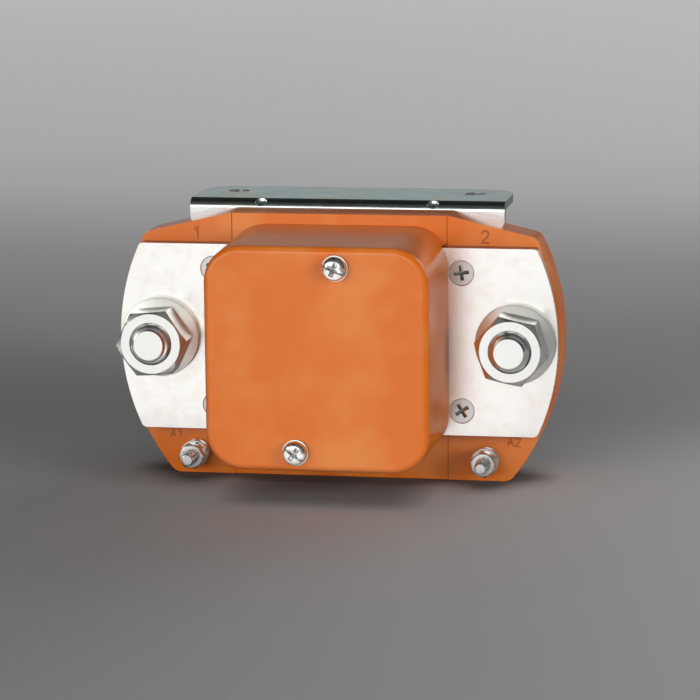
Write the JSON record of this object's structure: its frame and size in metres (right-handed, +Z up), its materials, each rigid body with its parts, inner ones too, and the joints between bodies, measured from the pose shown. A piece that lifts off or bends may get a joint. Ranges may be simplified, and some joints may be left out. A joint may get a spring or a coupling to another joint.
{
  "type": "high voltage dc contactor",
  "caption": "Single-pole DC contactor: moulded head with stud terminals, boxed arc cover, coil studs, angle bracket and an open-yoke solenoid behind.",
  "frame": {"origin": "middle of the bounding box on the resting face", "axes": "+X from terminal 1 to terminal 2, +Y from the arc cover back to the magnet, +Z up"},
  "size_m": [0.1346, 0.1266, 0.083],
  "materials": {
    "orange_moulding": "smooth moulded thermoset, satin gloss",
    "plated_copper": "nickel-plated copper, satin",
    "zinc_hardware": "zinc-plated steel fasteners",
    "zinc_sheet": "clear-passivated zinc-plated sheet steel",
    "magnet_steel": "zinc-plated soft iron",
    "bare_steel": "ground steel",
    "brass_parts": "turned brass",
    "copper_parts": "copper",
    "silver_tips": "silver alloy",
    "nylon": "natural nylon",
    "liner_board": "arc-resistant insulating board",
    "black_tape": "polyester coil tape",
    "rubber": "moulded rubber",
    "ferrite": "sintered ferrite",
    "lead_sleeve": "silicone lead insulation"
  },
  "bodies": {
    "housing": {"head_base": "orange_moulding", "arc_cover": "orange_moulding", "terminal_plate_left": "plated_copper", "terminal_plate_right": "plated_copper", "terminal_stud_left": "zinc_hardware", "terminal_stud_right": "zinc_hardware", "conical_washers": "zinc_hardware", "terminal_nuts": "zinc_hardware", "plate_screws": "zinc_hardware", "fixed_contacts": "silver_tips", "coil_studs": "zinc_hardware", "coil_flat_washers": "zinc_hardware", "coil_spring_washers": "zinc_hardware", "coil_nuts": "zinc_hardware", "lead_lugs": "zinc_hardware", "coil_leads": "lead_sleeve", "cover_screws": "zinc_hardware", "cover_spring_washers": "zinc_hardware", "head_screws": "zinc_hardware", "mounting_bracket": "zinc_sheet", "pole_plate": "magnet_steel", "yoke_frame": "magnet_steel", "yoke_screws": "zinc_hardware", "coil_bobbin": "nylon", "coil_winding": "copper_parts", "coil_tape": "black_tape", "fixed_core": "bare_steel", "core_bolt": "zinc_hardware", "core_washer": "zinc_hardware", "plunger_sleeve": "brass_parts", "return_spring": "bare_steel", "bumper_washer": "rubber", "guide_bush": "brass_parts", "arc_liner": "liner_board", "blowout_magnets": "ferrite", "blowout_yoke": "bare_steel"},
    "armature": {"plunger": "bare_steel", "drive_shaft": "bare_steel", "bridge_hub": "nylon", "spring_seat": "zinc_hardware", "shaft_nut": "zinc_hardware", "contact_spring": "bare_steel"},
    "bridge": {"moving_bridge": "copper_parts", "moving_contacts": "silver_tips"}
  },
  "joints": [
    {"name": "armature_slide", "type": "slide", "parent": "housing", "child": "armature", "axis": [0, 1, 0], "range_m": [0, 0.0045], "stiffness_N_per_m": 2500, "springref_m": -0.004, "deforming": ["return_spring"]},
    {"name": "bridge_slide", "type": "slide", "parent": "armature", "child": "bridge", "axis": [0, 1, 0], "range_m": [-0.001, 0], "deforming": ["contact_spring"]}
  ],
  "couplings": [
    {"joint": "bridge_slide", "follows": "armature_slide", "ratio": -0.22222}
  ]
}
